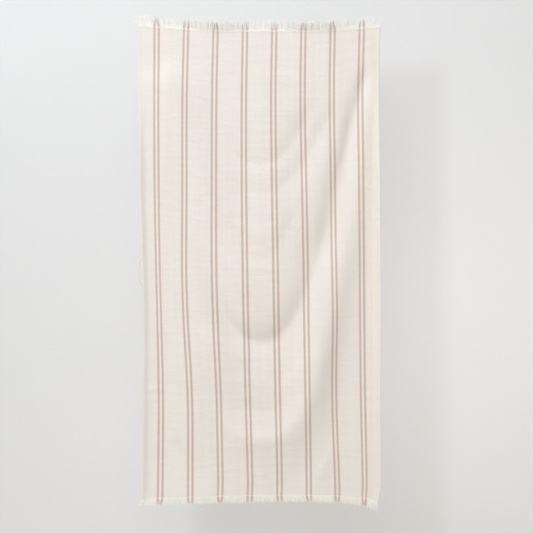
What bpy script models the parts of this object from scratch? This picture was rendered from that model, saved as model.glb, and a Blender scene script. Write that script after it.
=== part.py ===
"""Beach towel: one flat-woven cotton cloth with a fringe at each end, hanging by its two top corners.

Metres, +Z up. The viewer stands at -Y and the wall side is +Y. The origin is the middle of the cloth's top
edge. A place on the cloth is given by two lengths measured on the flat cloth: "across", from its left edge,
and "down", from its top edge. The function hang() says where that place lies once the cloth hangs.
"""

import math
import random
from collections import namedtuple

import bmesh
import bpy
from mathutils import Vector

# Driving dimensions of the flat cloth.
CLOTH_WIDTH = 0.900
CLOTH_LENGTH = 1.750  # between the stitched rows that hold the two fringes
CLOTH_THICKNESS = 0.002
CLOTH_COLUMNS = 24
CLOTH_ROWS = 52

# Each fringe grows out of a narrow strip of the same weave, parted from the cloth's edge.
STRIP_GAP = 0.0005
STRIP_HEIGHT = 0.005
FRINGE_LENGTH = 0.035
FRINGE_LOCKS = 108
LOCK_THICKNESS = 0.0017
LOCK_ROOT_DEPTH = 0.003  # how far a lock's root runs back into its strip
LOCK_SWAY = 1.0  # how far, in millimetres, its tip strays sideways and forward by chance
LOCK_STRAY = 2.0
LOCK_SHORTEST = 0.9  # the share of its length that it keeps at least
LOCK_BOW = 0.3  # how far its middle bows out, as a share of its tip's lean
FRINGE_SEED = 7

# The hanging loop, a thin cord caught behind the left side hem at mid-length.
LOOP_THICKNESS = 0.0050
LOOP_TOP_DOWN = 0.853
LOOP_HEIGHT = 0.118
LOOP_REACH = 0.0165  # how far the loop's middle line stands out from the cloth's edge
LOOP_TUCK = 0.014  # how far its ends run in behind the hem
LOOP_GAP = 0.0009
LOOP_SQUARENESS = 0.8  # 1 is an ellipse, and less squares its bow
LOOP_STEPS = 20

WELD_DISTANCE = 0.00001

# How the hung cloth's two ends lie: the top edge sags between the held corners, and the folds draw the
# bottom edge up in the middle. The powers say how late each edge turns towards its corner.
TOP_SAG = 0.019
TOP_TILT = 0.0025
TOP_POWER = 2.4
BOTTOM_HEIGHT = -1.716  # of the bottom edge's middle, above the origin
BOTTOM_LEFT_DROOP = 0.013
BOTTOM_LEFT_POWER = 2
BOTTOM_RIGHT_DROOP = 0.022
BOTTOM_RIGHT_POWER = 4

# A patch at each top corner is held flat.
HELD_PATCH = 0.102
HELD_FADE = 0.100

# How far the cloth has crept sideways, in millimetres to the right of where a flat cloth would lie.
# One row for each height down the cloth, one column for each place across it.
Drift = namedtuple("Drift", "down left_edge stripe_2 stripe_4 stripe_6 stripe_7 stripe_8 right_edge")
DRIFT_ACROSS = Drift(None, 0.0, 0.1775, 0.3955, 0.6135, 0.7225, 0.8315, 0.900)
DRIFTS = (
    Drift(0.00, 0, 0, 0, -2, -3, -4, -4),
    Drift(0.25, 3, -5, -4, -5, -6, -9, -7),
    Drift(0.58, 5, -6, -4, 1, -1, -6, -4),
    Drift(0.90, 15, -7, 0, 7, 3, -3, -2),
    Drift(1.07, 19, -2, 3, 9, 5, -2, -1),
    Drift(1.37, 17, 14, 10, 13, 3, 1, -4),
    Drift(1.69, 13, 16, 19, 18, 14, 7, -3),
    Drift(1.75, 12, 16, 18, 18, 15, 5, -13),
)

# The folds are swags nested in each other, each a U that hangs from the two held corners.
#   lowest   how far down its lowest point is, in metres
#   reach    half of its span at the top edge, in metres
#   square   how square its bottom is: 2 for a round one, more for a squarer one
#   climb    how far up its arms it can be seen, in metres
#   depth    how far it stands forward, in millimetres, or back if negative
#   above, below, round   widths of its slope inside and outside the U, and of its rounded bottom, in mm
#   left, middle, right   its share of that depth on the left arm, at its lowest point and on the right arm
#   arm_from, arm_full    where, as shares of its reach, the middle's share starts and ends to give way
Fold = namedtuple(
    "Fold", "name lowest reach square climb depth above below round left middle right arm_from arm_full"
)
FOLDS = (
    Fold("pouch valley", 1.147, 0.398, 2.3, 0.95, -30, 42, 85, 12, 0.55, 0.90, 0.75, 0.20, 0.65),
    Fold("middle arm valley", 1.050, 0.382, 3.0, 0.85, -18, 80, 60, 16, 0.00, 0.00, 1.00, 0.50, 0.70),
    Fold("right arm valley", 1.010, 0.424, 2.0, 1.60, -20, 40, 60, 10, 0.00, 0.00, 1.00, 0.62, 0.80),
    Fold("great ridge", 1.520, 0.424, 2.6, 1.60, 39, 85, 42, 22, 0.00, 0.25, 1.00, 0.10, 0.60),
    Fold("outer valley", 1.700, 0.488, 2.6, 1.50, -18, 60, 60, 28, 0.00, 0.25, 1.00, 0.10, 0.60),
    Fold("low swag", 1.405, 0.470, 2.8, 0.24, -6, 40, 60, 14, 0.00, 1.00, 0.00, 0.10, 0.40),
    Fold("low ridge", 1.505, 0.470, 2.8, 0.14, 7, 22, 80, 14, 0.00, 1.00, 0.00, 0.10, 0.40),
    Fold("upper swag", 0.489, 0.268, 2.3, 0.26, -9, 60, 30, 10, 0.40, 0.80, 1.00, 0.10, 0.65),
    Fold("second swag", 0.593, 0.350, 2.3, 0.36, -13, 80, 55, 8, 0.00, 0.40, 1.00, 0.10, 0.45),
    Fold("third ridge", 0.752, 0.300, 2.3, 0.15, 3, 50, 25, 8, 0.30, 1.00, 0.50, 0.10, 0.65),
    Fold("fourth swag", 0.841, 0.248, 2.3, 0.26, -7, 50, 24, 8, 0.00, 0.40, 1.00, 0.10, 0.50),
    Fold("left ridge", 1.300, 0.360, 2.6, 2.20, 17, 150, 90, 20, 1.00, 0.00, 0.00, 0.10, 0.65),
    Fold("left line", 0.900, 0.390, 2.3, 1.00, -4, 30, 30, 10, 1.00, 0.00, 0.00, 0.10, 0.65),
)
ARM_SOFTENING = 1.8  # how much rounder a fold is on its arms than at its lowest point
NARROW_AT_TOP = 0.25  # the folds crowd together towards the corners they hang from
NARROW_PER_METRE = 1.2
FOLDS_START = 0.06
FOLDS_FULL = 0.22

# The pouch, a low bulge above the pouch valley, and the two side margins, which curl forward.
POUCH_FORWARD = 0.015
POUCH_DOWN = 1.00
POUCH_HALF_WIDTH = 0.22
POUCH_HALF_HEIGHT = 0.30
CURL_LEFT = 0.010
CURL_RIGHT = 0.020
CURL_WIDTH = 0.028
CURL_START = 0.15
CURL_FULL = 0.55

# The larger creases, each a soft straight ridge, or a trough if its depth is negative.
#   across, down   its middle on the hung cloth: metres to the right of the cloth's middle, and down
#   length   from end to end, in metres
#   turn     how far its line turns down to the right from level, in degrees
#   depth    how far it stands forward, in millimetres
#   above, below   widths of its slopes on either side, in millimetres
Crease = namedtuple("Crease", "name across down length turn depth above below")
CREASES = (
    Crease("left lip", -0.160, 1.150, 0.30, 26, 8, 30, 160),
    Crease("inner arm hollow", 0.205, 0.800, 0.36, -70, -14, 80, 70),
    Crease("bottom left swell", -0.230, 1.745, 0.60, 0, 15, 100, 40),
    Crease("left inner streak", -0.085, 0.905, 0.34, 60, 7, 50, 26),
)

# How the locks of each fringe lean. One row for each place across: millimetres to the right at the tip,
# millimetres forward at the tip, and the share of the full length. Between the rows they blend.
Lean = namedtuple("Lean", "across sideways forward length")
TOP_LEANS = (
    Lean(0.000, -15, -6, 0.95),
    Lean(0.045, -5, -7, 1.05),
    Lean(0.150, 2, -6, 1.05),
    Lean(0.215, 3, 8, 0.92),
    Lean(0.270, 1, 17, 0.88),
    Lean(0.350, -3, 15, 0.90),
    Lean(0.400, 2, -5, 1.00),
    Lean(0.500, 2, -7, 1.00),
    Lean(0.560, 3, 10, 0.95),
    Lean(0.640, 3, 17, 0.90),
    Lean(0.720, -3, 14, 0.90),
    Lean(0.800, 3, -6, 1.00),
    Lean(0.860, 7, -7, 1.00),
    Lean(0.900, 16, -5, 0.95),
)
BOTTOM_LEANS = (
    Lean(0.000, -14, 8, 0.72),
    Lean(0.050, -4, 9, 0.72),
    Lean(0.200, 3, 8, 0.75),
    Lean(0.330, -2, 10, 0.74),
    Lean(0.480, 2, 8, 0.72),
    Lean(0.640, 3, 10, 0.72),
    Lean(0.740, -3, 8, 0.76),
    Lean(0.840, 2, 10, 0.90),
    Lean(0.900, 3, 11, 1.05),
)


def smooth(share):
    """Ease from 0 to 1 as share goes from 0 to 1, and stay there outside."""
    share = min(1.0, max(0.0, share))
    return share * share * (3 - 2 * share)


def mix(low, high, share):
    return low + (high - low) * share


def blend(places, values, place):
    """The smooth curve through the values at their places, level past both ends."""
    last = len(places) - 1
    place = min(max(place, places[0]), places[last])
    i = max(n for n in range(last) if places[n] <= place)
    span = places[i + 1] - places[i]
    share = (place - places[i]) / span

    def slope(n):
        before, after = max(n - 1, 0), min(n + 1, last)
        return (values[after] - values[before]) / (places[after] - places[before])

    bend_in = (slope(i) * span - (values[i + 1] - values[i])) * share * (1 - share) ** 2
    bend_out = ((values[i + 1] - values[i]) - slope(i + 1) * span) * share**2 * (1 - share)
    return mix(values[i], values[i + 1], share) + bend_in + bend_out


def drift(across, down):
    """How far the cloth has crept to the right at this place, in metres."""
    heights = [row.down for row in DRIFTS]
    columns = DRIFT_ACROSS[1:]
    values = [blend(heights, [row[1 + i] for row in DRIFTS], down) for i in range(len(columns))]
    return 0.001 * blend(columns, values, across)


def fold_forward(fold, x, drop):
    """How far one fold brings the cloth forward, x to the right of the middle and drop below the top."""
    share = abs(x) / fold.reach
    path = fold.lowest * (1 - share**fold.square)
    slope = fold.lowest * fold.square * share ** (fold.square - 1) / fold.reach
    outside = (drop - path) / math.hypot(1, slope)
    crowding = min(1.0, NARROW_AT_TOP + NARROW_PER_METRE * max(drop, 0))
    on_arm = smooth((share - fold.arm_from) / (fold.arm_full - fold.arm_from))
    width = 0.001 * crowding * (fold.below if outside > 0 else fold.above)
    rounding = 0.001 * crowding * fold.round * (1 + ARM_SOFTENING * on_arm)
    strength = mix(fold.middle, fold.left if x < 0 else fold.right, on_arm)
    strength *= 1 - smooth(2 * (fold.lowest - drop) / fold.climb - 1)
    return 0.001 * fold.depth * strength * math.exp((rounding - math.hypot(outside, rounding)) / width)


def crease_forward(crease, x, drop):
    """How far one crease brings the cloth forward."""
    turn = math.radians(crease.turn)
    right, lower = x - crease.across, drop - crease.down
    along = right * math.cos(turn) + lower * math.sin(turn)
    off = lower * math.cos(turn) - right * math.sin(turn)
    width = 0.001 * (crease.below if off > 0 else crease.above)
    fading = smooth(1 - 2 * abs(along) / crease.length)
    return 0.001 * crease.depth * fading * math.exp(-((off / width) ** 2))


def forward(across, x, drop):
    """How far the hung cloth stands forward of the plane of its held corners."""
    folds = sum(fold_forward(fold, x, drop) for fold in FOLDS)
    folds *= smooth((drop - FOLDS_START) / (FOLDS_FULL - FOLDS_START))
    creases = sum(crease_forward(crease, x, drop) for crease in CREASES)
    pouch = math.exp(-((x / POUCH_HALF_WIDTH) ** 2) - ((drop - POUCH_DOWN) / POUCH_HALF_HEIGHT) ** 2)
    from_edge = min(across, CLOTH_WIDTH - across)
    curl = smooth(1 - from_edge / CURL_WIDTH) * smooth((drop - CURL_START) / (CURL_FULL - CURL_START))
    curl *= CURL_LEFT if across < CLOTH_WIDTH / 2 else CURL_RIGHT
    held = smooth((math.hypot(from_edge, max(drop, 0)) - HELD_PATCH) / HELD_FADE)
    return held * (folds + creases + POUCH_FORWARD * pouch + curl)


def hang(across, down):
    """The place in space of one place on the cloth."""
    side = 2 * across / CLOTH_WIDTH - 1
    top = TOP_SAG * abs(side) ** TOP_POWER - TOP_TILT * side
    if side < 0:
        bottom = BOTTOM_HEIGHT - BOTTOM_LEFT_DROOP * abs(side) ** BOTTOM_LEFT_POWER
    else:
        bottom = BOTTOM_HEIGHT - BOTTOM_RIGHT_DROOP * side**BOTTOM_RIGHT_POWER
    height = mix(top, bottom, down / CLOTH_LENGTH)
    x = across - CLOTH_WIDTH / 2 + drift(across, down)
    return Vector((x, -forward(across, x, -height), height))


def faceted(across, down):
    """The same place on the flat facets that the cloth is made of, for what is fixed to it."""
    column = CLOTH_WIDTH / CLOTH_COLUMNS
    row = CLOTH_LENGTH / CLOTH_ROWS
    left = column * min(math.floor(across / column), CLOTH_COLUMNS - 1)
    inner = (across - left) / column
    if not 0 < down < CLOTH_LENGTH:
        return mix(hang(left, down), hang(left + column, down), inner)
    upper = row * min(math.floor(down / row), CLOTH_ROWS - 1)
    top = mix(hang(left, upper), hang(left + column, upper), inner)
    bottom = mix(hang(left, upper + row), hang(left + column, upper + row), inner)
    return mix(top, bottom, (down - upper) / row)


def collection(name):
    new = bpy.data.collections.new(name)
    bpy.context.scene.collection.children.link(new)
    return new


def material(name, colour, roughness):
    new = bpy.data.materials.new(name)
    new.use_nodes = True
    shader = new.node_tree.nodes["Principled BSDF"]
    shader.inputs["Base Color"].default_value = (*colour, 1)
    shader.inputs["Roughness"].default_value = roughness
    shader.inputs["Metallic"].default_value = 0.0
    return new


def add_object(name, mesh, finish, group):
    mesh.materials.clear()
    mesh.materials.append(finish)
    obj = bpy.data.objects.new(name, mesh)
    group.objects.link(obj)
    return obj


def woven_sheet(name, down_from, down_to, rows, finish, group):
    """A stretch of the cloth over its full width, hung and given its thickness."""
    mesh = bpy.data.meshes.new(name)
    cage = bmesh.new()
    bmesh.ops.create_grid(cage, x_segments=CLOTH_COLUMNS, y_segments=rows, size=0.5)
    for vert in cage.verts:
        across = CLOTH_WIDTH * (vert.co.x + 0.5)
        vert.co = hang(across, mix(down_to, down_from, vert.co.y + 0.5))
    cage.to_mesh(mesh)
    cage.free()
    mesh.shade_smooth()
    obj = add_object(name, mesh, finish, group)
    thickness = obj.modifiers.new("Thickness", "SOLIDIFY")
    thickness.thickness = CLOTH_THICKNESS
    thickness.offset = 0
    thickness.use_even_offset = True
    return obj


def evaluated_mesh(obj):
    """The object's mesh after its modifiers, in world space, with the loose caps of a curve welded."""
    bpy.context.view_layer.update()
    mesh = bpy.data.meshes.new_from_object(obj.evaluated_get(bpy.context.evaluated_depsgraph_get()))
    mesh.transform(obj.matrix_world)
    cage = bmesh.new()
    cage.from_mesh(mesh)
    bmesh.ops.remove_doubles(cage, verts=cage.verts, dist=WELD_DISTANCE)
    cage.to_mesh(mesh)
    cage.free()
    return mesh


def tubes(name, paths, thickness, resolution):
    """Tubes with closed ends along the paths, as one mesh."""
    curve = bpy.data.curves.new(name, "CURVE")
    curve.dimensions = "3D"
    curve.bevel_depth = thickness / 2
    curve.bevel_resolution = resolution
    curve.use_fill_caps = True
    for path in paths:
        spline = curve.splines.new("POLY")
        spline.points.add(len(path) - 1)
        for point, place in zip(spline.points, path):
            point.co = (*place, 1)
    obj = bpy.data.objects.new(name, curve)
    bpy.context.scene.collection.objects.link(obj)
    mesh = evaluated_mesh(obj)
    bpy.data.objects.remove(obj)
    bpy.data.curves.remove(curve)
    return mesh


def lock_path(across, end, outward, leans, chance):
    """Root, edge, middle and tip of one lock. It grows out of the cloth's end: outward is -1 up, 1 down."""
    places = [row.across for row in leans]
    sway = LOCK_SWAY * chance.uniform(-1, 1)
    stray = LOCK_STRAY * chance.uniform(-1, 1)
    sideways = 0.001 * (blend(places, [row.sideways for row in leans], across) + sway)
    ahead = 0.001 * (blend(places, [row.forward for row in leans], across) + stray)
    length = FRINGE_LENGTH * blend(places, [row.length for row in leans], across)
    length *= chance.uniform(LOCK_SHORTEST, 1)
    strip_end = STRIP_GAP + STRIP_HEIGHT
    root = faceted(across, end + outward * (strip_end - LOCK_ROOT_DEPTH))
    edge = faceted(across, end + outward * strip_end)
    tip = edge + Vector((sideways, -ahead, -outward * (length - strip_end)))
    bow = LOCK_BOW * Vector((-sideways, ahead, 0))
    return root, edge, (edge + tip) / 2 + bow, tip


def fringe(name, end, outward, leans, finish, group):
    """A strip of weave along one end of the cloth, with its locks fused into it at their roots."""
    near = end + outward * STRIP_GAP
    far = near + outward * STRIP_HEIGHT
    strip = woven_sheet(name, min(near, far), max(near, far), 1, finish, group)
    chance = random.Random(FRINGE_SEED)
    pitch = CLOTH_WIDTH / FRINGE_LOCKS
    paths = [lock_path((i + 0.5) * pitch, end, outward, leans, chance) for i in range(FRINGE_LOCKS)]
    cutters = bpy.data.collections["cutters"]
    locks = add_object(name + "_locks", tubes(name + "_locks", paths, LOCK_THICKNESS, 0), finish, cutters)
    locks.hide_render = True
    locks.display_type = "WIRE"
    union = strip.modifiers.new("Locks", "BOOLEAN")
    union.operation = "UNION"
    union.solver = "EXACT"
    union.object = locks
    return strip


def loop_path():
    """The loop's middle line: in from behind the hem, out round the bow, and back behind the hem."""
    behind = CLOTH_THICKNESS / 2 + LOOP_GAP + LOOP_THICKNESS / 2
    path = []
    for step in range(LOOP_STEPS + 1):
        turn = math.pi * step / LOOP_STEPS
        down = LOOP_TOP_DOWN + LOOP_HEIGHT * (1 - math.cos(turn)) / 2
        out = mix(-LOOP_TUCK, LOOP_REACH, math.sin(turn) ** LOOP_SQUARENESS)
        edge = faceted(0, down)
        inner = faceted(max(0.0, -out), down)
        path.append(Vector((edge.x - out, inner.y + behind, edge.z)))
    return path


def build():
    for obj in list(bpy.data.objects):
        bpy.data.objects.remove(obj)
    towel = collection("beach_towel")
    collection("cutters")
    cotton = material("cream_cotton", (0.83, 0.78, 0.68), 0.9)
    yarn = material("fringe_yarn", (0.86, 0.82, 0.73), 0.9)
    cord = material("white_cord", (0.88, 0.87, 0.83), 0.8)

    woven_sheet("cloth", 0, CLOTH_LENGTH, CLOTH_ROWS, cotton, towel)
    fringe("top_fringe", 0, -1, TOP_LEANS, yarn, towel)
    fringe("bottom_fringe", CLOTH_LENGTH, 1, BOTTOM_LEANS, yarn, towel)
    loop = add_object("hang_loop", tubes("hang_loop", [loop_path()], LOOP_THICKNESS, 2), cord, towel)
    loop.data.shade_smooth()


build()
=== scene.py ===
"""The looks of the beach towel: a flat-woven cotton cloth with fringed ends, hanging by its top corners.

Metres, +Z up. The viewer stands at -Y and the wall side is +Y. The origin is the middle of the cloth's top
edge. A place on the cloth is given by two lengths measured on the flat cloth: "across", from its left edge,
and "down", from its top edge. The function hang() says where that place lies once the cloth hangs.
"""

import math
from collections import namedtuple

import bpy
import numpy as np
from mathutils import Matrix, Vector


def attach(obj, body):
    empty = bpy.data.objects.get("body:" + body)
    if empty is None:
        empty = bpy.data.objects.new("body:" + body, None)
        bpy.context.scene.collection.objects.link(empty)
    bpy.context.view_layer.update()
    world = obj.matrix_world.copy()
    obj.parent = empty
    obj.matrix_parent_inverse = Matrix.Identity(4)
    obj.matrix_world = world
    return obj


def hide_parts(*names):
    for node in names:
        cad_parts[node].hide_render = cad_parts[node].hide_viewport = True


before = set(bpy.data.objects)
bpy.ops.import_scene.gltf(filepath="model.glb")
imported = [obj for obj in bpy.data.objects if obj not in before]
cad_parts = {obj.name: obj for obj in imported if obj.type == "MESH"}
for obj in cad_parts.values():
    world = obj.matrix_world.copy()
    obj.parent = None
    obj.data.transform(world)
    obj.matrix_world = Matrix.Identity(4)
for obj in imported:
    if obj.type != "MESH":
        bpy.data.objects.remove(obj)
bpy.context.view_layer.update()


# ---- The woven cloth ----------------------------------------------------------------------------------
# One rectangle of flat-woven cotton, cream with eight pairs of narrow rose stripes in its warp, its long
# sides turned over twice into narrow hems. It is held by its two top corners, and its weight gathers into
# swags nested in each other, deepest along the right.
CLOTH_WIDTH = 0.900
CLOTH_LENGTH = 1.750  # between the stitched rows that hold the two fringes
CLOTH_HALF_THICKNESS = 0.0007
CLOTH_END = 0.003  # the weave runs on this far beyond each stitched row
CLOTH_COLUMN = 0.006
CLOTH_ROW = 0.006
RIM_WIDTH = 0.0016  # the cloth rounds off over this much of its side edges
RIM_SHARE = 0.2  # of its thickness, at the very edge
HEM_WIDTH = 0.0075
HEM_STEP = 0.0012  # how wide the step down from the turned hem is
HEM_FRONT = 0.0004  # how far the turned hem stands out on each face
HEM_BACK = 0.0012

# How the hung cloth's two ends lie.
TOP_SAG = 0.019
TOP_TILT = 0.0025
TOP_POWER = 2.4
BOTTOM_HEIGHT = -1.716
BOTTOM_LEFT_DROOP = 0.013
BOTTOM_LEFT_POWER = 2
BOTTOM_RIGHT_DROOP = 0.022
BOTTOM_RIGHT_POWER = 4

# A patch at each top corner is held flat.
HELD_PATCH = 0.102
HELD_FADE = 0.100

# How far the cloth has crept sideways, in millimetres to the right of where a flat cloth would lie.
# One row for each height down the cloth, one column for each place across it.
Drift = namedtuple("Drift", "down left_edge stripe_2 stripe_4 stripe_6 stripe_7 stripe_8 right_edge")
DRIFT_ACROSS = Drift(None, 0.0, 0.1775, 0.3955, 0.6135, 0.7225, 0.8315, 0.900)
DRIFTS = (
    Drift(0.00, 0, 0, 0, -2, -3, -4, -4),
    Drift(0.25, 3, -5, -4, -5, -6, -9, -7),
    Drift(0.58, 5, -6, -4, 1, -1, -6, -4),
    Drift(0.90, 15, -7, 0, 7, 3, -3, -2),
    Drift(1.07, 19, -2, 3, 9, 5, -2, -1),
    Drift(1.37, 17, 14, 10, 13, 3, 1, -4),
    Drift(1.69, 13, 16, 19, 18, 14, 7, -3),
    Drift(1.75, 12, 16, 18, 18, 15, 5, -13),
)

# The folds are swags nested in each other, each a U that hangs from the two held corners.
#   lowest   how far down its lowest point is, in metres
#   reach    half of its span at the top edge, in metres
#   square   how square its bottom is: 2 for a round one, more for a squarer one
#   climb    how far up its arms it can be seen, in metres
#   depth    how far it stands forward, in millimetres, or back if negative
#   above, below, round   widths of its slope inside and outside the U, and of its rounded bottom, in mm
#   left, middle, right   its share of that depth on the left arm, at its lowest point and on the right arm
#   arm_from, arm_full    where, as shares of its reach, the middle's share starts and ends to give way
Fold = namedtuple(
    "Fold", "name lowest reach square climb depth above below round left middle right arm_from arm_full"
)
FOLDS = (
    Fold("pouch valley", 1.147, 0.398, 2.3, 0.95, -30, 42, 85, 12, 0.55, 0.90, 0.75, 0.20, 0.65),
    Fold("middle arm valley", 1.050, 0.382, 3.0, 0.85, -18, 80, 60, 16, 0.00, 0.00, 1.00, 0.50, 0.70),
    Fold("right arm valley", 1.010, 0.424, 2.0, 1.60, -20, 40, 60, 10, 0.00, 0.00, 1.00, 0.62, 0.80),
    Fold("great ridge", 1.520, 0.424, 2.6, 1.60, 39, 85, 42, 22, 0.00, 0.25, 1.00, 0.10, 0.60),
    Fold("outer valley", 1.700, 0.488, 2.6, 1.50, -18, 60, 60, 28, 0.00, 0.25, 1.00, 0.10, 0.60),
    Fold("low swag", 1.405, 0.470, 2.8, 0.24, -6, 40, 60, 14, 0.00, 1.00, 0.00, 0.10, 0.40),
    Fold("low ridge", 1.505, 0.470, 2.8, 0.14, 7, 22, 80, 14, 0.00, 1.00, 0.00, 0.10, 0.40),
    Fold("upper swag", 0.489, 0.268, 2.3, 0.26, -9, 60, 30, 10, 0.40, 0.80, 1.00, 0.10, 0.65),
    Fold("second swag", 0.593, 0.350, 2.3, 0.36, -13, 80, 55, 8, 0.00, 0.40, 1.00, 0.10, 0.45),
    Fold("third ridge", 0.752, 0.300, 2.3, 0.15, 3, 50, 25, 8, 0.30, 1.00, 0.50, 0.10, 0.65),
    Fold("fourth swag", 0.841, 0.248, 2.3, 0.26, -7, 50, 24, 8, 0.00, 0.40, 1.00, 0.10, 0.50),
    Fold("left ridge", 1.300, 0.360, 2.6, 2.20, 17, 150, 90, 20, 1.00, 0.00, 0.00, 0.10, 0.65),
    Fold("left line", 0.900, 0.390, 2.3, 1.00, -4, 30, 30, 10, 1.00, 0.00, 0.00, 0.10, 0.65),
)
ARM_SOFTENING = 1.8  # how much rounder a fold is on its arms than at its lowest point
NARROW_AT_TOP = 0.25  # the folds crowd together towards the corners they hang from
NARROW_PER_METRE = 1.2
FOLDS_START = 0.06
FOLDS_FULL = 0.22

# The pouch, a low bulge above the pouch valley, and the two side margins, which curl forward.
POUCH_FORWARD = 0.015
POUCH_DOWN = 1.00
POUCH_HALF_WIDTH = 0.22
POUCH_HALF_HEIGHT = 0.30
CURL_LEFT = 0.010
CURL_RIGHT = 0.020
CURL_WIDTH = 0.028
CURL_START = 0.15
CURL_FULL = 0.55

# Creases, each a soft straight ridge, or a trough if its depth is negative.
#   across, down   its middle on the hung cloth: metres to the right of the cloth's middle, and down
#   length   from end to end, in metres
#   turn     how far its line turns down to the right from level, in degrees
#   depth    how far it stands forward, in millimetres
#   above, below   widths of its slopes on either side, in millimetres
Crease = namedtuple("Crease", "name across down length turn depth above below")
CREASES = (
    Crease("left lip", -0.160, 1.150, 0.30, 26, 8, 30, 160),
    Crease("inner arm hollow", 0.205, 0.800, 0.36, -70, -14, 80, 70),
    Crease("bottom left swell", -0.230, 1.745, 0.60, 0, 15, 100, 40),
    Crease("left inner streak", -0.085, 0.905, 0.34, 60, 7, 50, 26),
    Crease("left lip's end", -0.088, 1.200, 0.22, 10, 4, 26, 110),
    Crease("crossing crease", 0.022, 0.878, 0.34, 3, 1.6, 11, 11),
    Crease("left wrinkle", -0.392, 1.322, 0.14, -5, 2.2, 9, 9),
    Crease("lower left wrinkle", -0.398, 1.360, 0.10, 4, 1.4, 9, 9),
    Crease("right wrinkle", 0.425, 1.345, 0.10, -6, 2.2, 9, 12),
    Crease("lower right wrinkle", 0.425, 1.400, 0.08, 0, 1.4, 9, 12),
    Crease("bottom right streak", 0.244, 1.600, 0.26, -64, 4, 18, 45),
    Crease("left lower streak", -0.288, 1.500, 0.40, 68, 5, 60, 24),
    Crease("left upper streak", -0.200, 0.600, 0.50, 76, 5, 50, 24),
    Crease("top crease", 0.096, 0.167, 0.30, 8, 2, 14, 30),
    Crease("low belly", -0.060, 1.298, 0.26, 8, 2, 20, 20),
    Crease("lower belly", -0.050, 1.345, 0.24, 12, 1.4, 16, 22),
    Crease("right lower streak", 0.150, 1.250, 0.30, -56, 5, 22, 45),
)


def smooth(share):
    """Ease from 0 to 1 as share goes from 0 to 1, and stay there outside."""
    share = np.clip(share, 0, 1)
    return share * share * (3 - 2 * share)


def mix(low, high, share):
    return low + (high - low) * share


def blend(places, values, place):
    """The smooth curve through the values at their places, level past both ends."""
    last = len(places) - 1
    place = np.clip(place, places[0], places[last])
    curve = np.zeros(np.shape(place))
    for i in range(last):
        span = places[i + 1] - places[i]
        share = (place - places[i]) / span
        before, after = max(i - 1, 0), min(i + 2, last)
        slope_in = (values[i + 1] - values[before]) / (places[i + 1] - places[before]) * span
        slope_out = (values[after] - values[i]) / (places[after] - places[i]) * span
        rise = values[i + 1] - values[i]
        bend = (slope_in - rise) * share * (1 - share) ** 2 + (rise - slope_out) * share**2 * (1 - share)
        inside = (share >= 0) & (share <= 1)
        curve = np.where(inside, mix(values[i], values[i + 1], share) + bend, curve)
    return curve


def drift(across, down):
    """How far the cloth has crept to the right at this place, in metres."""
    heights = [row.down for row in DRIFTS]
    columns = DRIFT_ACROSS[1:]
    values = [blend(heights, [row[1 + i] for row in DRIFTS], down) for i in range(len(columns))]
    return 0.001 * blend(columns, values, across)


def fold_forward(fold, x, drop):
    """How far one fold brings the cloth forward, x to the right of the middle and drop below the top."""
    share = abs(x) / fold.reach
    path = fold.lowest * (1 - share**fold.square)
    slope = fold.lowest * fold.square * share ** (fold.square - 1) / fold.reach
    outside = (drop - path) / np.hypot(1, slope)
    crowding = np.minimum(1, NARROW_AT_TOP + NARROW_PER_METRE * np.maximum(drop, 0))
    on_arm = smooth((share - fold.arm_from) / (fold.arm_full - fold.arm_from))
    width = 0.001 * crowding * np.where(outside > 0, fold.below, fold.above)
    rounding = 0.001 * crowding * fold.round * (1 + ARM_SOFTENING * on_arm)
    strength = mix(fold.middle, np.where(x < 0, fold.left, fold.right), on_arm)
    strength = strength * (1 - smooth(2 * (fold.lowest - drop) / fold.climb - 1))
    return 0.001 * fold.depth * strength * np.exp((rounding - np.hypot(outside, rounding)) / width)


def crease_forward(crease, x, drop):
    """How far one crease brings the cloth forward."""
    turn = math.radians(crease.turn)
    right, lower = x - crease.across, drop - crease.down
    along = right * math.cos(turn) + lower * math.sin(turn)
    off = lower * math.cos(turn) - right * math.sin(turn)
    width = 0.001 * np.where(off > 0, crease.below, crease.above)
    fading = smooth(1 - 2 * abs(along) / crease.length)
    return 0.001 * crease.depth * fading * np.exp(-((off / width) ** 2))


def forward(across, x, drop):
    """How far the hung cloth stands forward of the plane of its held corners."""
    folds = sum(fold_forward(fold, x, drop) for fold in FOLDS)
    folds = folds * smooth((drop - FOLDS_START) / (FOLDS_FULL - FOLDS_START))
    creases = sum(crease_forward(crease, x, drop) for crease in CREASES)
    pouch = np.exp(-((x / POUCH_HALF_WIDTH) ** 2) - ((drop - POUCH_DOWN) / POUCH_HALF_HEIGHT) ** 2)
    from_edge = np.minimum(across, CLOTH_WIDTH - across)
    curl = smooth(1 - from_edge / CURL_WIDTH) * smooth((drop - CURL_START) / (CURL_FULL - CURL_START))
    curl = curl * np.where(across < CLOTH_WIDTH / 2, CURL_LEFT, CURL_RIGHT)
    held = smooth((np.hypot(from_edge, np.maximum(drop, 0)) - HELD_PATCH) / HELD_FADE)
    return held * (folds + creases + POUCH_FORWARD * pouch + curl)


def hang(across, down):
    """The places in space of places on the cloth."""
    across, down = np.broadcast_arrays(np.asarray(across, float), np.asarray(down, float))
    side = 2 * across / CLOTH_WIDTH - 1
    top = TOP_SAG * abs(side) ** TOP_POWER - TOP_TILT * side
    left_droop = BOTTOM_LEFT_DROOP * abs(side) ** BOTTOM_LEFT_POWER
    right_droop = BOTTOM_RIGHT_DROOP * abs(side) ** BOTTOM_RIGHT_POWER
    bottom = BOTTOM_HEIGHT - np.where(side < 0, left_droop, right_droop)
    height = mix(top, bottom, down / CLOTH_LENGTH)
    x = across - CLOTH_WIDTH / 2 + drift(across, down)
    return np.stack((x, -forward(across, x, -height), height), -1)


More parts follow.
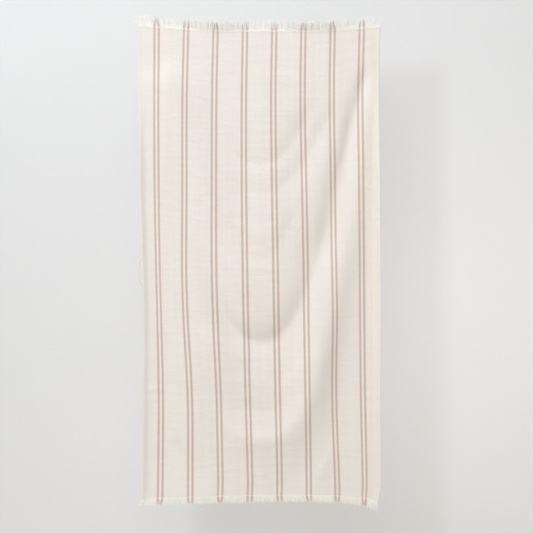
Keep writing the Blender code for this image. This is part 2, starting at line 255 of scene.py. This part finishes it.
def off_cloth(across, down, lift):
    """Places that stand off the cloth's middle surface by lift, towards the viewer if it is positive."""
    reach = 0.001
    to_right = hang(across + reach, down) - hang(across - reach, down)
    to_bottom = hang(across, down + reach) - hang(across, down - reach)
    front = np.cross(to_bottom, to_right)
    front /= np.linalg.norm(front, axis=-1, keepdims=True)
    return hang(across, down) + front * np.asarray(lift)[..., None]


def skin(name, rings):
    """Closed tubes as one object. rings is tubes x rings x points round each ring x 3, with an even number
    of points round, and goes round so that along x round points out of the tube."""
    tubes, length, around = rings.shape[:3]
    index = np.arange(tubes * length * around).reshape(tubes, length, around)
    beside = np.roll(index, -1, axis=2)
    walls = np.stack((index[:, :-1], index[:, 1:], beside[:, 1:], beside[:, :-1]), -1).reshape(-1, 4)
    one_side = index[..., : around // 2]
    other_side = index[..., : around // 2 - 1 : -1]
    ends = np.stack((one_side[..., :-1], one_side[..., 1:], other_side[..., 1:], other_side[..., :-1]), -1)
    starts = ends[:, 0].reshape(-1, 4)
    stops = ends[:, -1].reshape(-1, 4)[:, ::-1]
    mesh = bpy.data.meshes.new(name)
    mesh.from_pydata(rings.reshape(-1, 3).tolist(), [], np.concatenate((walls, starts, stops)).tolist())
    mesh.shade_smooth()
    obj = bpy.data.objects.new(name, mesh)
    bpy.context.scene.collection.objects.link(obj)
    return obj


def hem_share(across):
    """1 on the hems, 0 between them, with a narrow step."""
    from_edge = np.minimum(across, CLOTH_WIDTH - across)
    return smooth((HEM_WIDTH + HEM_STEP / 2 - from_edge) / HEM_STEP)


def edge_columns():
    """The places across the cloth of the mesh's columns: close together on the hems, then even."""
    hem = [0, 0.0006, RIM_WIDTH, 0.003, 0.005, HEM_WIDTH - HEM_STEP, HEM_WIDTH, HEM_WIDTH + HEM_STEP]
    inner = CLOTH_WIDTH - 2 * hem[-1]
    count = round(inner / CLOTH_COLUMN)
    between = [hem[-1] + inner * i / count for i in range(1, count)]
    return np.array(hem + between + [CLOTH_WIDTH - place for place in reversed(hem)])


columns = edge_columns()
rows = np.linspace(-CLOTH_END, CLOTH_LENGTH + CLOTH_END, round(CLOTH_LENGTH / CLOTH_ROW) + 1)
across_grid, down_grid = np.meshgrid(columns, rows)
rounding_off = mix(RIM_SHARE, 1, smooth(np.minimum(columns, CLOTH_WIDTH - columns) / RIM_WIDTH))
front_lift = (CLOTH_HALF_THICKNESS + HEM_FRONT * hem_share(columns)) * rounding_off
back_lift = (CLOTH_HALF_THICKNESS + HEM_BACK * hem_share(columns)) * rounding_off
front_face = off_cloth(across_grid, down_grid, np.broadcast_to(front_lift, across_grid.shape))
back_face = off_cloth(across_grid, down_grid, np.broadcast_to(-back_lift, across_grid.shape))
woven_cloth = skin("woven_cloth", np.concatenate((front_face, back_face[:, ::-1]), axis=1)[None])

# The flat place of every corner, in metres, is the cloth's map for the weave and the stripes.
flat_place = np.stack((across_grid, down_grid), -1)
flat_place = np.concatenate((flat_place, flat_place[:, ::-1]), axis=1).reshape(-1, 2)
corner_vertex = np.empty(len(woven_cloth.data.loops), int)
woven_cloth.data.loops.foreach_get("vertex_index", corner_vertex)
flat_map = woven_cloth.data.uv_layers.new(name="flat")
flat_map.uv.foreach_set("vector", flat_place[corner_vertex].astype(np.float32).ravel())


class Value:
    """An output in a material's node tree. Sums of these add Math nodes, and node() adds any other kind."""

    def __init__(self, tree, socket=None):
        self.tree = tree
        self.socket = socket

    def node(self, kind, settings=(), sockets=(), output=0):
        """A new node, whose settings are set before the values or links of its sockets."""
        new = self.tree.nodes.new("ShaderNode" + kind)
        for name, setting in dict(settings).items():
            setattr(new, name, setting)
        for name, value in dict(sockets).items():
            if isinstance(value, Value):
                self.tree.links.new(value.socket, new.inputs[name])
            else:
                new.inputs[name].default_value = value
        return Value(self.tree, new.outputs[output])

    def maths(self, operation, *values):
        return self.node("Math", {"operation": operation}, dict(enumerate(values)))

    def __add__(self, other):
        return self.maths("ADD", self, other)

    def __sub__(self, other):
        return self.maths("SUBTRACT", self, other)

    def __rsub__(self, other):
        return self.maths("SUBTRACT", other, self)

    def __mul__(self, other):
        return self.maths("MULTIPLY", self, other)

    def __truediv__(self, other):
        return self.maths("DIVIDE", self, other)

    def __abs__(self):
        return self.maths("ABSOLUTE", self)

    __radd__ = __add__
    __rmul__ = __mul__

    def sine(self):
        return self.maths("SINE", self)

    def fraction(self):
        return self.maths("FRACT", self)

    def between(self, low, high):
        """Ease from 0 where this is low to 1 where it is high."""
        return self.node("MapRange", {"interpolation_type": "SMOOTHSTEP"}, {0: self, 1: low, 2: high})

    def colours(self, low, high):
        """The colour low where this is 0, and high where it is 1: a Mix node takes them at its sockets 6
        and 7, and gives the mixed colour at its output 2."""
        low, high = (end if isinstance(end, Value) else (*end, 1) for end in (low, high))
        return self.node("Mix", {"data_type": "RGBA"}, {0: self, 6: low, 7: high}, 2)

    def noise(self, scale, detail):
        """Soft noise about 0.5 in the places that this vector gives."""
        return self.node("TexNoise", {}, {"Vector": self, "Scale": scale, "Detail": detail})

    def patches(self, width, height, detail):
        """Soft noise about 0.5 whose patches are about this wide and high, in metres on the flat map."""
        patch = self.node("VectorMath", {"operation": "DIVIDE"}, {0: self, 1: (width, height, 1)})
        return patch.noise(1.0, detail)

    def part(self, axis):
        return self.node("SeparateXYZ", {}, {0: self}, axis)


def cotton(name, roughness, sheen):
    """A new material of matt cotton: its starting value, and its shader."""
    made = bpy.data.materials.new(name)
    made.use_nodes = True
    shader = made.node_tree.nodes["Principled BSDF"]
    shader.inputs["Roughness"].default_value = roughness
    shader.inputs["Specular IOR Level"].default_value = 0.25
    shader.inputs["Sheen Weight"].default_value = sheen
    shader.inputs["Sheen Roughness"].default_value = 0.6
    return made, Value(made.node_tree), shader


CREAM = (0.650, 0.608, 0.560)
ROSE = (0.42, 0.272, 0.231)  # of the dyed warp yarns, before the cream weft crosses them
WARP_PITCH = 0.0010
WEFT_PITCH = 0.0011
PAIR_FIRST = 0.0685  # the middle of the first pair of stripes, from the left edge
PAIR_PITCH = 0.109
LINE_FROM_MIDDLE = 0.00815  # from a pair's middle to the middle of each of its stripes
LINE_HALF_WIDTH = 0.0040
LINE_BLUR = 0.0004  # how far each way a stripe's edge fades
WARP_SHARE = 0.66  # of the surface: the rest is the weft that crosses it
RELIEF = 0.00012
PUCKER = 0.0020  # how deep the weave's own soft unevenness is, over a few centimetres
SHADE_BAND_DOWN = 0.0070  # how far down the thin grey band of painted shade under the top stitched row lies


def woven_cotton():
    """A plain weave that shows more warp than weft, worked out on the cloth's flat map."""
    made, start, shader = cotton("woven_cotton", 0.88, 0.15)
    flat = start.node("UVMap", {"uv_map": "flat"})
    across, down = flat.part("X"), flat.part("Y")
    from_pair = ((across - PAIR_FIRST) / PAIR_PITCH + 0.5).fraction() - 0.5
    from_line = abs(abs(from_pair) * PAIR_PITCH - LINE_FROM_MIDDLE)
    rose = 1 - from_line.between(LINE_HALF_WIDTH - LINE_BLUR, LINE_HALF_WIDTH + LINE_BLUR)
    crossing = (across * (math.pi / WARP_PITCH)).sine() * (down * (math.pi / WEFT_PITCH)).sine()
    warp_on_top = (crossing * 2 + WARP_SHARE - 0.5).between(-0.6, 0.6)

    # Thicker stretches of a warp yarn, thicker picks of the weft, long streaks, and a thin grey band of
    # painted shade just under the top stitched row.
    slubs = flat.patches(0.0016, 0.035, 1)
    picks = flat.patches(0.060, 0.0022, 1)
    streaks = flat.patches(0.012, 0.9, 3)
    puckers = flat.patches(0.085, 0.020, 2)
    # Painted shade: a thin grey band just below the top stitched row darkens the cloth where the row's
    # shadow falls.
    painted_shade = 1 - abs(down - SHADE_BAND_DOWN).between(0.0006, 0.0024)
    tone = 0.92 + slubs * 0.055 + picks * 0.035 + streaks * 0.07 - painted_shade * 0.07
    warp = rose.colours(CREAM, ROSE)
    weave = (warp_on_top * 0.5 + WARP_SHARE - 0.25).colours(CREAM, warp)
    shaded = start.node("VectorMath", {"operation": "SCALE"}, {0: weave, "Scale": tone})
    height = abs(crossing) + slubs * 0.6 + picks * 0.4 + warp_on_top * 0.15 + puckers * (PUCKER / RELIEF)
    bump = start.node("Bump", {}, {"Strength": 1.0, "Distance": RELIEF, "Height": height})
    made.node_tree.links.new(shaded.socket, shader.inputs["Base Color"])
    made.node_tree.links.new(bump.socket, shader.inputs["Normal"])
    return made


woven_cloth.data.materials.append(woven_cotton())
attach(woven_cloth, "root")
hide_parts("cloth")


# ---- The stitched rows --------------------------------------------------------------------------------
# A close zigzag of white sewing thread runs along each end of the weave, on both faces. It keeps the last
# weft yarns from slipping off into the fringe.
def tubes(name, paths, radius, around):
    """Round tubes as one object, along paths of tubes x points x 3. radius is one or one a point."""
    along = np.gradient(paths, axis=1)
    along /= np.linalg.norm(along, axis=-1, keepdims=True)
    outward = np.cross(along, np.broadcast_to((0.0, 1.0, 0.0), along.shape))
    outward /= np.linalg.norm(outward, axis=-1, keepdims=True)
    onward = np.cross(outward, along)
    turn = np.linspace(0, math.tau, around, endpoint=False)
    spokes = outward[:, :, None] * np.cos(turn)[:, None] + onward[:, :, None] * np.sin(turn)[:, None]
    radius = np.broadcast_to(np.asarray(radius, float), paths.shape[:2])
    return skin(name, paths[:, :, None] + spokes * radius[..., None, None])


THREAD_RADIUS = 0.00036
THREAD_TWIST = 0.0007
ZIGZAG_HEIGHT = 0.0045
ZIGZAG_INSIDE = 0.35  # the share of its height that lies inside the cloth's end
ZIGZAG_STEP = 0.0011
ZIGZAG_POINTS = 4  # in each slanting stitch
ZIGZAG_FROM_EDGE = 0.002


def thread_finish(name, dark, light):
    """Twisted thread, mottled between two colours."""
    made, start, shader = cotton(name, 0.75, 0.2)
    place = start.node("TexCoord", {}, {}, "Object")
    twist = (place.part("X") + place.part("Z")) * (math.tau / THREAD_TWIST)
    tone = place.noise(900.0, 1.0).between(0.2, 0.8).colours(dark, light)
    bump = start.node("Bump", {}, {"Strength": 0.6, "Distance": 0.0001, "Height": twist.sine()})
    made.node_tree.links.new(tone.socket, shader.inputs["Base Color"])
    made.node_tree.links.new(bump.socket, shader.inputs["Normal"])
    return made


white_thread = thread_finish("white_thread", (0.86, 0.85, 0.81), (0.94, 0.93, 0.90))


def zigzag(end, outward, face):
    """One continuous zigzag along an end of the cloth: face is 1 on the front and -1 on the back."""
    stitches = round((CLOTH_WIDTH - 2 * ZIGZAG_FROM_EDGE) / ZIGZAG_STEP)
    step = np.arange(stitches * ZIGZAG_POINTS + 1) / ZIGZAG_POINTS
    swing = 1 - abs(2 * (step / 2 - np.floor(step / 2)) - 1)
    across = ZIGZAG_FROM_EDGE + ZIGZAG_STEP * step
    down = end + outward * ZIGZAG_HEIGHT * (swing - ZIGZAG_INSIDE)
    arch = np.sin(math.pi * (step - np.floor(step)))
    hem = np.where(face > 0, HEM_FRONT, HEM_BACK) * hem_share(across)
    lift = face * (CLOTH_HALF_THICKNESS + hem + THREAD_RADIUS * (arch * 1.3 - 0.4))
    return off_cloth(across, down, lift)


for name, end, outward in (("top_row", 0.0, -1), ("bottom_row", CLOTH_LENGTH, 1)):
    row = tubes(name, np.stack([zigzag(end, outward, face) for face in (1, -1)]), THREAD_RADIUS, 4)
    row.data.materials.append(white_thread)
    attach(row, "root")


# ---- The hem stitches ---------------------------------------------------------------------------------
# A line of white running stitches holds each side hem near its inner fold. It shows on both faces as short
# raised dashes, those on the back between those on the front.
HEM_STITCH_PITCH = 0.0034
HEM_STITCH_LENGTH = 0.0025
HEM_STITCH_FROM_EDGE = 0.0062


def hem_line(edge, inward, face):
    """The dashes along one hem on one face, as short arching paths."""
    count = round(CLOTH_LENGTH / HEM_STITCH_PITCH)
    share = np.linspace(0, 1, 5)
    start = (np.arange(count) + 0.2 + 0.5 * (face < 0)) * HEM_STITCH_PITCH
    down = start[:, None] + HEM_STITCH_LENGTH * share
    across = np.full(down.shape, edge + inward * HEM_STITCH_FROM_EDGE)
    hem = HEM_FRONT if face > 0 else HEM_BACK
    lift = face * (CLOTH_HALF_THICKNESS + hem + THREAD_RADIUS * (1.8 * np.sin(math.pi * share) - 0.9))
    return off_cloth(across, down, np.broadcast_to(lift, down.shape))


for name, edge, inward in (("left_hem_stitches", 0.0, 1), ("right_hem_stitches", CLOTH_WIDTH, -1)):
    both_faces = np.concatenate([hem_line(edge, inward, face) for face in (1, -1)])
    dashes = tubes(name, both_faces, THREAD_RADIUS, 4)
    dashes.data.materials.append(white_thread)
    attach(dashes, "root")


# ---- The fringes --------------------------------------------------------------------------------------
# Beyond each stitched row the warp yarns are left free: cream, and rose where the stripes run out. They
# crimp as they did in the weave, cling to their neighbours in tufts, and lean forward or back in patches.
FRINGE_LENGTH = 0.035
YARN_COUNT = 1200
YARN_RADIUS = 0.00038
YARN_TWIST = 0.0012
YARN_POINTS = 10
YARN_ROOT = 0.0035  # how far back its root lies, under the stitches
YARN_SCATTER = 0.0003  # how far it lies before or behind the weave's middle by chance
BEND_POWER = 1.5  # how late along its length a yarn bends away
CRIMP_LENGTH = 0.0085
CRIMP = 0.0011

# What is left to chance in one yarn, in a tuft of neighbours, and in a pair of stripes.
SWAY = 0.0018  # of its tip to either side
STRAY = 0.0016  # of its tip forward or back
LENGTH_SHARE = 0.97  # of the length that the tables below give
LENGTH_CHANCE = 0.10
LONGER = 0.45  # a rare yarn is up to this share longer
RARE_POWER = 5
ROSE_LENGTH = 0.84  # of a cream yarn's length
TUFT_WIDTH = 0.0075
TUFT_WANDER = 0.25  # how far a tuft's borders wander, as a share of its width
TUFT_WANDER_RATE = 231.0
TUFT_PULL = 0.60  # how far its yarns draw together, 1 being to a point
TUFT_SWAY = 0.0032
TUFT_LENGTH = 0.07
PAIR_PULL = 0.65  # how far its stripes draw together at the most, and the least share of that
PAIR_PULL_LEAST = 0.3
PAIR_REACH = 0.016

# How the yarns lean. One row for each place across: millimetres to the right at the tip, millimetres
# forward at the tip, and the share of the full length. Between the rows they blend.
Lean = namedtuple("Lean", "across sideways forward length")
TOP_LEANS = (
    Lean(0.000, -15, -6, 0.95),
    Lean(0.045, -5, -7, 1.05),
    Lean(0.150, 2, -6, 1.05),
    Lean(0.215, 3, 8, 0.92),
    Lean(0.270, 1, 17, 0.88),
    Lean(0.350, -3, 15, 0.90),
    Lean(0.400, 2, -5, 1.00),
    Lean(0.500, 2, -7, 1.00),
    Lean(0.560, 3, 10, 0.95),
    Lean(0.640, 3, 17, 0.90),
    Lean(0.720, -3, 14, 0.90),
    Lean(0.800, 3, -6, 1.00),
    Lean(0.860, 7, -7, 1.00),
    Lean(0.900, 16, -5, 0.95),
)
BOTTOM_LEANS = (
    Lean(0.000, -14, 8, 0.72),
    Lean(0.050, -4, 9, 0.72),
    Lean(0.200, 3, 8, 0.75),
    Lean(0.330, -2, 10, 0.74),
    Lean(0.480, 2, 8, 0.72),
    Lean(0.640, 3, 10, 0.72),
    Lean(0.740, -3, 8, 0.76),
    Lean(0.840, 2, 10, 0.90),
    Lean(0.900, 3, 11, 1.05),
)


def yarn_finish(name, light, dark):
    """Soft twisted yarn between two colours."""
    made, start, shader = cotton(name, 0.92, 0.3)
    place = start.node("TexCoord", {}, {}, "Object")
    twist = (place.part("Z") + place.part("X") * 0.8) * (math.tau / YARN_TWIST)
    tone = place.noise(260.0, 2.0).between(0.25, 0.75).colours(dark, light)
    bump = start.node("Bump", {}, {"Strength": 0.7, "Distance": 0.00015, "Height": twist.sine()})
    made.node_tree.links.new(tone.socket, shader.inputs["Base Color"])
    made.node_tree.links.new(bump.socket, shader.inputs["Normal"])
    return made


cream_yarn = yarn_finish("cream_yarn", (0.955, 0.93, 0.865), (0.845, 0.815, 0.75))
rose_yarn = yarn_finish("rose_yarn", (0.66, 0.47, 0.41), (0.48, 0.32, 0.27))


def fringe(name, end, outward, leans, loose, seed, node):
    """The free yarns beyond one end of the cloth, as one object that stands for the node's locks. outward
    is -1 up and 1 down. loose is how far they stray from a straight comb, as a share of the most."""
    chance = np.random.default_rng(seed)
    across = (np.arange(YARN_COUNT) + 0.5) * CLOTH_WIDTH / YARN_COUNT
    places = [row.across for row in leans]

    def by_chance(spread):
        return spread * chance.uniform(-1, 1, YARN_COUNT)

    pair = np.round((across - PAIR_FIRST) / PAIR_PITCH).astype(int)
    from_pair = across - PAIR_FIRST - PAIR_PITCH * pair
    is_rose = abs(abs(from_pair) - LINE_FROM_MIDDLE) < LINE_HALF_WIDTH

    # Neighbours share a tuft, whose own chance lean and length they mostly follow. The two stripes of a
    # pair draw together, each pair by its own share.
    wander = TUFT_WANDER * TUFT_WIDTH * np.sin(across * TUFT_WANDER_RATE)
    tuft = np.floor((across + wander) / TUFT_WIDTH).astype(int)
    tuft_middle = np.bincount(tuft, across) / np.bincount(tuft)
    tuft_lean, tuft_stray, tuft_length = chance.uniform(-1, 1, (3, tuft.max() + 1))
    sideways = 0.001 * blend(places, [row.sideways for row in leans], across)
    sideways += loose * (TUFT_PULL * (tuft_middle[tuft] - across) + TUFT_SWAY * tuft_lean[tuft])
    drawn = PAIR_PULL * chance.uniform(PAIR_PULL_LEAST, 1.0, pair.max() + 1)[pair]
    sideways += by_chance(SWAY) - drawn * from_pair * np.exp(-((from_pair / PAIR_REACH) ** 4))
    ahead = 0.001 * blend(places, [row.forward for row in leans], across)
    ahead += loose * TUFT_SWAY * tuft_stray[tuft] + by_chance(STRAY)
    length = FRINGE_LENGTH * blend(places, [row.length for row in leans], across)
    rare = chance.uniform(0, 1, YARN_COUNT) ** RARE_POWER
    varied = TUFT_LENGTH * tuft_length[tuft] + by_chance(LENGTH_CHANCE) + LONGER * rare
    length *= (LENGTH_SHARE + loose * varied) * np.where(is_rose, ROSE_LENGTH, 1)

    # Each yarn runs on from the weave, bends away towards its tip, and winds a little as it goes.
    share = np.linspace(0, 1, YARN_POINTS)
    root = off_cloth(across, np.full(YARN_COUNT, end - outward * YARN_ROOT), by_chance(YARN_SCATTER))
    edge = off_cloth(across, np.full(YARN_COUNT, end), by_chance(YARN_SCATTER))
    along = edge - root
    along /= np.linalg.norm(along, axis=-1, keepdims=True)
    tip_offset = np.stack((sideways, -ahead, np.zeros(YARN_COUNT)), -1)
    first_turn = chance.uniform(0, math.tau, YARN_COUNT)
    turn = first_turn[:, None] + share * length[:, None] * (math.tau / CRIMP_LENGTH)
    swing = CRIMP * share * (0.5 + chance.uniform(0, 1, YARN_COUNT)[:, None])
    crimp = np.stack((swing * np.sin(turn), swing * np.cos(turn * 0.83), np.zeros(turn.shape)), -1)
    paths = root[:, None] + along[:, None] * (share * (length[:, None] + YARN_ROOT))[..., None]
    paths += tip_offset[:, None] * (share**BEND_POWER)[:, None] + crimp
    radius = YARN_RADIUS * np.interp(share, (0, 0.75, 0.93, 1), (1, 1, 0.85, 0.25))
    yarns = tubes(name, paths, radius, 4)

    yarns.data.materials.append(cream_yarn)
    yarns.data.materials.append(rose_yarn)
    walls = (YARN_POINTS - 1) * 4
    finish = np.concatenate((np.repeat(is_rose, walls), is_rose, is_rose)).astype(np.int32)
    yarns.data.polygons.foreach_set("material_index", finish)
    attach(yarns, "root")
    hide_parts(node)
    return yarns


top_yarns = fringe("top_yarns", 0.0, -1, TOP_LEANS, 1.0, 3, "top_fringe")
bottom_yarns = fringe("bottom_yarns", CLOTH_LENGTH, 1, BOTTOM_LEANS, 0.55, 4, "bottom_fringe")


# ---- The hanging loop ---------------------------------------------------------------------------------
# A short length of white three-ply cotton cord, its two ends caught behind the left side hem at
# mid-length, so that it stands out from the edge as a flat bow.
LOOP_TOP_DOWN = 0.853
LOOP_HEIGHT = 0.118
LOOP_REACH = 0.0165  # how far the cord's middle line stands out from the cloth's edge
LOOP_TUCK = 0.014  # how far its ends run in behind the hem
LOOP_SQUARENESS = 0.8  # 1 is an ellipse, and less squares its bow
LOOP_RADIUS = 0.0025
LOOP_STEPS = 240
PLY_COUNT = 3
PLY_TWISTS = 13
PLY_RADIUS = 0.56 * LOOP_RADIUS
PLY_FROM_MIDDLE = 0.5 * LOOP_RADIUS


def loop_line():
    """The cord's middle line: in from behind the hem, out round the bow, and back behind the hem."""
    turn = np.linspace(0, math.pi, LOOP_STEPS)
    down = LOOP_TOP_DOWN + LOOP_HEIGHT * (1 - np.cos(turn)) / 2
    out = mix(-LOOP_TUCK, LOOP_REACH, np.sin(turn) ** LOOP_SQUARENESS)
    inner = hang(np.maximum(0, -out), down)
    behind = CLOTH_HALF_THICKNESS + HEM_BACK + LOOP_RADIUS
    return np.stack((hang(0.0, down)[:, 0] - out, inner[:, 1] + behind, inner[:, 2]), -1)


def plies(line):
    """The plies wound round that line."""
    along = np.gradient(line, axis=0)
    along /= np.linalg.norm(along, axis=-1, keepdims=True)
    wall_side = np.broadcast_to((0.0, 1.0, 0.0), line.shape)
    inward = np.cross(along, wall_side)
    paths = []
    for ply in range(PLY_COUNT):
        turn = np.linspace(0, PLY_TWISTS * math.tau, LOOP_STEPS) + ply * math.tau / PLY_COUNT
        spoke = inward * np.cos(turn)[:, None] + wall_side * np.sin(turn)[:, None]
        paths.append(line + spoke * PLY_FROM_MIDDLE)
    return np.stack(paths)


hang_cord = tubes("hang_cord", plies(loop_line()), PLY_RADIUS, 6)
hang_cord.data.materials.append(thread_finish("white_cord", (0.56, 0.545, 0.51), (0.82, 0.81, 0.78)))
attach(hang_cord, "root")
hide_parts("hang_loop")


# ---- The studio ---------------------------------------------------------------------------------------
# A plain pale wall behind the towel and a plain pale floor below it. The wall can be seen through from
# behind, so that the towel's own back shows.
WALL_BEHIND = 1.50
WALL_TOP = 2.4
ROOM_HALF_WIDTH = 4.0
FLOOR_HEIGHT = -2.35
FLOOR_FRONT = -7.0
FLOOR_BACK = 4.0


def plane(name, corners, finish):
    mesh = bpy.data.meshes.new(name)
    mesh.from_pydata(corners, [], [(0, 1, 2, 3)])
    mesh.materials.append(finish)
    obj = bpy.data.objects.new(name, mesh)
    bpy.context.scene.collection.objects.link(obj)


def painted(name, colour, see_through_back):
    """Flat paint, very faintly uneven."""
    made = bpy.data.materials.new(name)
    made.use_nodes = True
    shader = made.node_tree.nodes["Principled BSDF"]
    shader.inputs["Roughness"].default_value = 0.9
    shader.inputs["Specular IOR Level"].default_value = 0.1
    start = Value(made.node_tree)
    place = start.node("TexCoord", {}, {}, "Object")
    light = tuple(part * 1.01 for part in colour)
    tone = place.noise(2.5, 4.0).between(0.3, 0.7).colours(colour, light)
    made.node_tree.links.new(tone.socket, shader.inputs["Base Color"])
    if see_through_back:
        behind = start.node("NewGeometry", {}, {}, "Backfacing")
        clear = start.node("BsdfTransparent")
        paint = Value(made.node_tree, shader.outputs[0])
        both = start.node("MixShader", {}, {0: behind, 1: paint, 2: clear})
        surface = made.node_tree.nodes["Material Output"].inputs["Surface"]
        made.node_tree.links.new(both.socket, surface)
    return made


def oblong(top, bottom):
    """The corners of a plane over the room's full width, each of top and bottom being its (y, z)."""
    left, right = -ROOM_HALF_WIDTH, ROOM_HALF_WIDTH
    return [(left, *bottom), (right, *bottom), (right, *top), (left, *top)]


wall_corners = oblong((WALL_BEHIND, WALL_TOP), (WALL_BEHIND, FLOOR_HEIGHT))
floor_corners = oblong((FLOOR_BACK, FLOOR_HEIGHT), (FLOOR_FRONT, FLOOR_HEIGHT))
plane("wall", wall_corners, painted("pale_paint", (0.665, 0.665, 0.672), True))
plane("floor", floor_corners, painted("pale_floor", (0.86, 0.80, 0.73), False))


# ---- The light ----------------------------------------------------------------------------------------
# A wide soft box high on the viewer's left shapes the folds, and a small cool one before the towel gives
# its shadow on the wall an edge. Two more fill from the front and the right, and a weak one behind the
# towel's plane washes the wall's lower right.
TOWEL_MIDDLE = (0.0, 0.0, -0.87)
LOW_WALL = (1.10, WALL_BEHIND, -1.45)


def soft_box(name, aim, direction, distance, size, power, colour):
    """A round soft box that shines on aim from a distance away in that direction."""
    light = bpy.data.lights.new(name, "AREA")
    light.shape = "DISK"
    light.size = size
    light.energy = power
    light.color = colour
    obj = bpy.data.objects.new(name, light)
    away = Vector(direction).normalized()
    obj.location = Vector(aim) + away * distance
    obj.rotation_euler = away.to_track_quat("Z", "Y").to_euler()
    obj.visible_camera = False
    bpy.context.scene.collection.objects.link(obj)


soft_box("key", TOWEL_MIDDLE, (-0.175, -1.0, 0.175), 5.0, 0.35, 48, (0.76, 0.91, 1.0))
soft_box("left", TOWEL_MIDDLE, (-0.42, -0.40, 0.82), 5.4, 3.6, 242, (0.93, 0.97, 1.0))
soft_box("front", TOWEL_MIDDLE, (-0.06, -1.0, 0.22), 7.0, 2.5, 105, (1.0, 0.98, 0.955))
soft_box("right", TOWEL_MIDDLE, (0.90, -0.90, 0.25), 6.0, 4.0, 50, (1.0, 0.98, 0.955))
soft_box("wash", LOW_WALL, (0.0, -1.0, 0.0), 1.25, 2.2, 5.0, (1.0, 0.94, 0.90))
world = bpy.data.worlds.new("pale_room")
world.use_nodes = True
world.node_tree.nodes["Background"].inputs["Color"].default_value = (1.0, 0.96, 0.92, 1)
world.node_tree.nodes["Background"].inputs["Strength"].default_value = 0.32
bpy.context.scene.world = world
bpy.context.scene.view_settings.view_transform = "Standard"


# ---- The camera ---------------------------------------------------------------------------------------
# It faces the towel squarely at the height of its middle, from a distance, so that the cloth's sides look
# parallel.
CAMERA_DISTANCE = 6.0
CAMERA_RIGHT = 0.0250  # of the cloth's middle
CAMERA_HEIGHT = -0.8702
SEEN_WIDTH = 1.972  # how much of the towel's plane the square picture spans
camera_data = bpy.data.cameras.new("camera")
camera_data.lens = camera_data.sensor_width * CAMERA_DISTANCE / SEEN_WIDTH
camera = bpy.data.objects.new("camera", camera_data)
camera.location = (CAMERA_RIGHT, -CAMERA_DISTANCE, CAMERA_HEIGHT)
camera.rotation_euler = (math.pi / 2, 0, 0)
bpy.context.scene.collection.objects.link(camera)
bpy.context.scene.camera = camera
